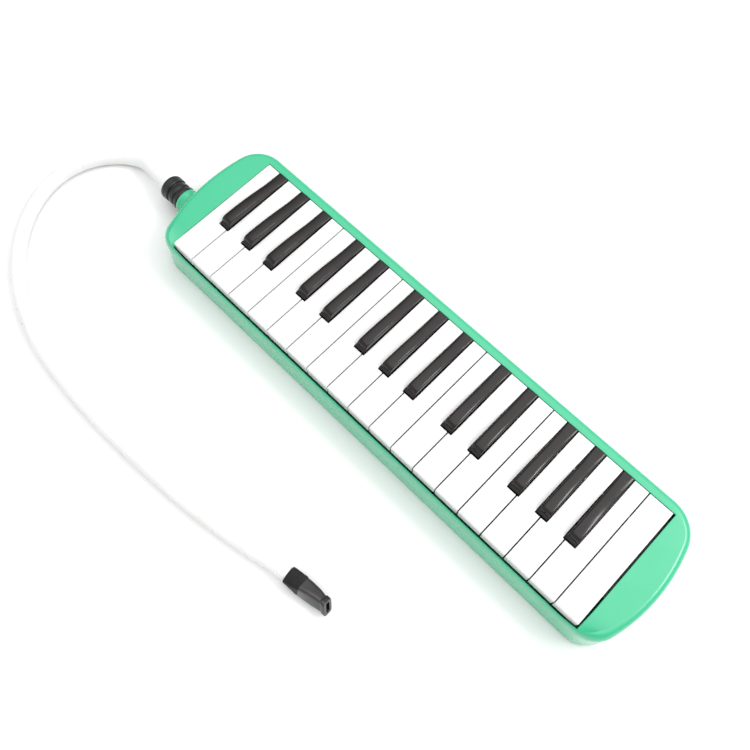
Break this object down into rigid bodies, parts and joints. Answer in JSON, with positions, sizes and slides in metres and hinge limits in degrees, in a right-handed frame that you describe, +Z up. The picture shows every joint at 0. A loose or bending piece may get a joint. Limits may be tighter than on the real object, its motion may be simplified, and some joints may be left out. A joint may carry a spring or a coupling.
{
  "type": "melodica",
  "caption": "Mint green mouth-blown keyboard instrument with hinged piano keys, a ribbed black hose plug and a loose white hose that ends in a black mouthpiece.",
  "frame": {"origin": "centre of the flat underside of the case, between the two case ends and between its front and back", "axes": "+X along the keyboard from the low notes and the hose to the high notes, +Y from the white key fronts to the back, +Z up through the keys"},
  "size_m": [0.5432, 0.2334, 0.0442],
  "materials": {
    "case_plastic": "mint green glossy moulded plastic",
    "white_keys": "white glossy plastic",
    "black_keys": "black-brown glossy plastic",
    "hose_vinyl": "off-white satin flexible plastic",
    "connector_plastic": "black satin plastic",
    "mouthpiece_plastic": "black glossy plastic",
    "chamber_plastic": "grey moulded plastic",
    "seal_rubber": "soft matt",
    "stop_felt": "felt",
    "reed_metal": "satin",
    "steel_parts": "plated"
  },
  "bodies": {
    "case": {"upper_case": "case_plastic", "lower_case": "case_plastic", "reed_chamber": "chamber_plastic", "chamber_cover": "chamber_plastic", "chamber_gasket": "seal_rubber", "reed_plate_bass": "reed_metal", "reed_plate_treble": "reed_metal", "key_rod": "steel_parts", "front_felt": "stop_felt", "middle_felt": "stop_felt", "blow_socket": "case_plastic", "socket_seal": "seal_rubber", "hose_connector": "connector_plastic", "hose": "hose_vinyl", "mouthpiece": "mouthpiece_plastic", "drain_spring": "steel_parts", "case_screw_1": "steel_parts", "case_screw_2": "steel_parts", "case_screw_3": "steel_parts", "case_screw_4": "steel_parts", "case_screw_5": "steel_parts", "case_screw_6": "steel_parts", "chamber_screw_1": "steel_parts", "chamber_screw_2": "steel_parts", "chamber_screw_3": "steel_parts", "chamber_screw_4": "steel_parts"},
    "white_key_01": {"white_key_01": "white_keys"},
    "white_key_02": {"white_key_02": "white_keys"},
    "white_key_03": {"white_key_03": "white_keys"},
    "white_key_04": {"white_key_04": "white_keys"},
    "white_key_05": {"white_key_05": "white_keys"},
    "white_key_06": {"white_key_06": "white_keys"},
    "white_key_07": {"white_key_07": "white_keys"},
    "white_key_08": {"white_key_08": "white_keys"},
    "white_key_09": {"white_key_09": "white_keys"},
    "white_key_10": {"white_key_10": "white_keys"},
    "white_key_11": {"white_key_11": "white_keys"},
    "white_key_12": {"white_key_12": "white_keys"},
    "white_key_13": {"white_key_13": "white_keys"},
    "white_key_14": {"white_key_14": "white_keys"},
    "white_key_15": {"white_key_15": "white_keys"},
    "white_key_16": {"white_key_16": "white_keys"},
    "white_key_17": {"white_key_17": "white_keys"},
    "white_key_18": {"white_key_18": "white_keys"},
    "white_key_19": {"white_key_19": "white_keys"},
    "black_key_01": {"black_key_01": "black_keys"},
    "black_key_02": {"black_key_02": "black_keys"},
    "black_key_03": {"black_key_03": "black_keys"},
    "black_key_04": {"black_key_04": "black_keys"},
    "black_key_05": {"black_key_05": "black_keys"},
    "black_key_06": {"black_key_06": "black_keys"},
    "black_key_07": {"black_key_07": "black_keys"},
    "black_key_08": {"black_key_08": "black_keys"},
    "black_key_09": {"black_key_09": "black_keys"},
    "black_key_10": {"black_key_10": "black_keys"},
    "black_key_11": {"black_key_11": "black_keys"},
    "black_key_12": {"black_key_12": "black_keys"},
    "black_key_13": {"black_key_13": "black_keys"},
    "drain_valve": {"drain_button": "mouthpiece_plastic", "drain_seal": "seal_rubber"}
  },
  "joints": [
    {"name": "white_key_01_hinge", "type": "hinge", "parent": "case", "child": "white_key_01", "pos_m": [-0.18, 0.0253, 0.031], "axis": [1, 0, 0], "range_deg": [0, 3.9], "stiffness_Nm_per_rad": 0.2, "springref_deg": -5.73},
    {"name": "white_key_02_hinge", "type": "hinge", "parent": "case", "child": "white_key_02", "pos_m": [-0.16, 0.0253, 0.031], "axis": [1, 0, 0], "range_deg": [0, 3.9], "stiffness_Nm_per_rad": 0.2, "springref_deg": -5.73},
    {"name": "white_key_03_hinge", "type": "hinge", "parent": "case", "child": "white_key_03", "pos_m": [-0.14, 0.0253, 0.031], "axis": [1, 0, 0], "range_deg": [0, 3.9], "stiffness_Nm_per_rad": 0.2, "springref_deg": -5.73},
    {"name": "white_key_04_hinge", "type": "hinge", "parent": "case", "child": "white_key_04", "pos_m": [-0.12, 0.0253, 0.031], "axis": [1, 0, 0], "range_deg": [0, 3.9], "stiffness_Nm_per_rad": 0.2, "springref_deg": -5.73},
    {"name": "white_key_05_hinge", "type": "hinge", "parent": "case", "child": "white_key_05", "pos_m": [-0.1, 0.0253, 0.031], "axis": [1, 0, 0], "range_deg": [0, 3.9], "stiffness_Nm_per_rad": 0.2, "springref_deg": -5.73},
    {"name": "white_key_06_hinge", "type": "hinge", "parent": "case", "child": "white_key_06", "pos_m": [-0.08, 0.0253, 0.031], "axis": [1, 0, 0], "range_deg": [0, 3.9], "stiffness_Nm_per_rad": 0.2, "springref_deg": -5.73},
    {"name": "white_key_07_hinge", "type": "hinge", "parent": "case", "child": "white_key_07", "pos_m": [-0.06, 0.0253, 0.031], "axis": [1, 0, 0], "range_deg": [0, 3.9], "stiffness_Nm_per_rad": 0.2, "springref_deg": -5.73},
    {"name": "white_key_08_hinge", "type": "hinge", "parent": "case", "child": "white_key_08", "pos_m": [-0.04, 0.0253, 0.031], "axis": [1, 0, 0], "range_deg": [0, 3.9], "stiffness_Nm_per_rad": 0.2, "springref_deg": -5.73},
    {"name": "white_key_09_hinge", "type": "hinge", "parent": "case", "child": "white_key_09", "pos_m": [-0.02, 0.0253, 0.031], "axis": [1, 0, 0], "range_deg": [0, 3.9], "stiffness_Nm_per_rad": 0.2, "springref_deg": -5.73},
    {"name": "white_key_10_hinge", "type": "hinge", "parent": "case", "child": "white_key_10", "pos_m": [0, 0.0253, 0.031], "axis": [1, 0, 0], "range_deg": [0, 3.9], "stiffness_Nm_per_rad": 0.2, "springref_deg": -5.73},
    {"name": "white_key_11_hinge", "type": "hinge", "parent": "case", "child": "white_key_11", "pos_m": [0.02, 0.0253, 0.031], "axis": [1, 0, 0], "range_deg": [0, 3.9], "stiffness_Nm_per_rad": 0.2, "springref_deg": -5.73},
    {"name": "white_key_12_hinge", "type": "hinge", "parent": "case", "child": "white_key_12", "pos_m": [0.04, 0.0253, 0.031], "axis": [1, 0, 0], "range_deg": [0, 3.9], "stiffness_Nm_per_rad": 0.2, "springref_deg": -5.73},
    {"name": "white_key_13_hinge", "type": "hinge", "parent": "case", "child": "white_key_13", "pos_m": [0.06, 0.0253, 0.031], "axis": [1, 0, 0], "range_deg": [0, 3.9], "stiffness_Nm_per_rad": 0.2, "springref_deg": -5.73},
    {"name": "white_key_14_hinge", "type": "hinge", "parent": "case", "child": "white_key_14", "pos_m": [0.08, 0.0253, 0.031], "axis": [1, 0, 0], "range_deg": [0, 3.9], "stiffness_Nm_per_rad": 0.2, "springref_deg": -5.73},
    {"name": "white_key_15_hinge", "type": "hinge", "parent": "case", "child": "white_key_15", "pos_m": [0.1, 0.0253, 0.031], "axis": [1, 0, 0], "range_deg": [0, 3.9], "stiffness_Nm_per_rad": 0.2, "springref_deg": -5.73},
    {"name": "white_key_16_hinge", "type": "hinge", "parent": "case", "child": "white_key_16", "pos_m": [0.12, 0.0253, 0.031], "axis": [1, 0, 0], "range_deg": [0, 3.9], "stiffness_Nm_per_rad": 0.2, "springref_deg": -5.73},
    {"name": "white_key_17_hinge", "type": "hinge", "parent": "case", "child": "white_key_17", "pos_m": [0.14, 0.0253, 0.031], "axis": [1, 0, 0], "range_deg": [0, 3.9], "stiffness_Nm_per_rad": 0.2, "springref_deg": -5.73},
    {"name": "white_key_18_hinge", "type": "hinge", "parent": "case", "child": "white_key_18", "pos_m": [0.16, 0.0253, 0.031], "axis": [1, 0, 0], "range_deg": [0, 3.9], "stiffness_Nm_per_rad": 0.2, "springref_deg": -5.73},
    {"name": "white_key_19_hinge", "type": "hinge", "parent": "case", "child": "white_key_19", "pos_m": [0.18, 0.0253, 0.031], "axis": [1, 0, 0], "range_deg": [0, 3.9], "stiffness_Nm_per_rad": 0.2, "springref_deg": -5.73},
    {"name": "black_key_01_hinge", "type": "hinge", "parent": "case", "child": "black_key_01", "pos_m": [-0.1735, 0.0253, 0.031], "axis": [1, 0, 0], "range_deg": [0, 4.3], "stiffness_Nm_per_rad": 0.15, "springref_deg": -5.73},
    {"name": "black_key_02_hinge", "type": "hinge", "parent": "case", "child": "black_key_02", "pos_m": [-0.15, 0.0253, 0.031], "axis": [1, 0, 0], "range_deg": [0, 4.3], "stiffness_Nm_per_rad": 0.15, "springref_deg": -5.73},
    {"name": "black_key_03_hinge", "type": "hinge", "parent": "case", "child": "black_key_03", "pos_m": [-0.1267, 0.0253, 0.031], "axis": [1, 0, 0], "range_deg": [0, 4.3], "stiffness_Nm_per_rad": 0.15, "springref_deg": -5.73},
    {"name": "black_key_04_hinge", "type": "hinge", "parent": "case", "child": "black_key_04", "pos_m": [-0.0921, 0.0253, 0.031], "axis": [1, 0, 0], "range_deg": [0, 4.3], "stiffness_Nm_per_rad": 0.15, "springref_deg": -5.73},
    {"name": "black_key_05_hinge", "type": "hinge", "parent": "case", "child": "black_key_05", "pos_m": [-0.0681, 0.0253, 0.031], "axis": [1, 0, 0], "range_deg": [0, 4.3], "stiffness_Nm_per_rad": 0.15, "springref_deg": -5.73},
    {"name": "black_key_06_hinge", "type": "hinge", "parent": "case", "child": "black_key_06", "pos_m": [-0.0335, 0.0253, 0.031], "axis": [1, 0, 0], "range_deg": [0, 4.3], "stiffness_Nm_per_rad": 0.15, "springref_deg": -5.73},
    {"name": "black_key_07_hinge", "type": "hinge", "parent": "case", "child": "black_key_07", "pos_m": [-0.01, 0.0253, 0.031], "axis": [1, 0, 0], "range_deg": [0, 4.3], "stiffness_Nm_per_rad": 0.15, "springref_deg": -5.73},
    {"name": "black_key_08_hinge", "type": "hinge", "parent": "case", "child": "black_key_08", "pos_m": [0.0133, 0.0253, 0.031], "axis": [1, 0, 0], "range_deg": [0, 4.3], "stiffness_Nm_per_rad": 0.15, "springref_deg": -5.73},
    {"name": "black_key_09_hinge", "type": "hinge", "parent": "case", "child": "black_key_09", "pos_m": [0.0479, 0.0253, 0.031], "axis": [1, 0, 0], "range_deg": [0, 4.3], "stiffness_Nm_per_rad": 0.15, "springref_deg": -5.73},
    {"name": "black_key_10_hinge", "type": "hinge", "parent": "case", "child": "black_key_10", "pos_m": [0.0719, 0.0253, 0.031], "axis": [1, 0, 0], "range_deg": [0, 4.3], "stiffness_Nm_per_rad": 0.15, "springref_deg": -5.73},
    {"name": "black_key_11_hinge", "type": "hinge", "parent": "case", "child": "black_key_11", "pos_m": [0.1065, 0.0253, 0.031], "axis": [1, 0, 0], "range_deg": [0, 4.3], "stiffness_Nm_per_rad": 0.15, "springref_deg": -5.73},
    {"name": "black_key_12_hinge", "type": "hinge", "parent": "case", "child": "black_key_12", "pos_m": [0.13, 0.0253, 0.031], "axis": [1, 0, 0], "range_deg": [0, 4.3], "stiffness_Nm_per_rad": 0.15, "springref_deg": -5.73},
    {"name": "black_key_13_hinge", "type": "hinge", "parent": "case", "child": "black_key_13", "pos_m": [0.1533, 0.0253, 0.031], "axis": [1, 0, 0], "range_deg": [0, 4.3], "stiffness_Nm_per_rad": 0.15, "springref_deg": -5.73},
    {"name": "drain_push", "type": "slide", "parent": "case", "child": "drain_valve", "axis": [0, 0, 1], "range_m": [0, 0.0012], "stiffness_N_per_m": 300, "springref_m": -0.002, "deforming": ["drain_spring"]}
  ]
}
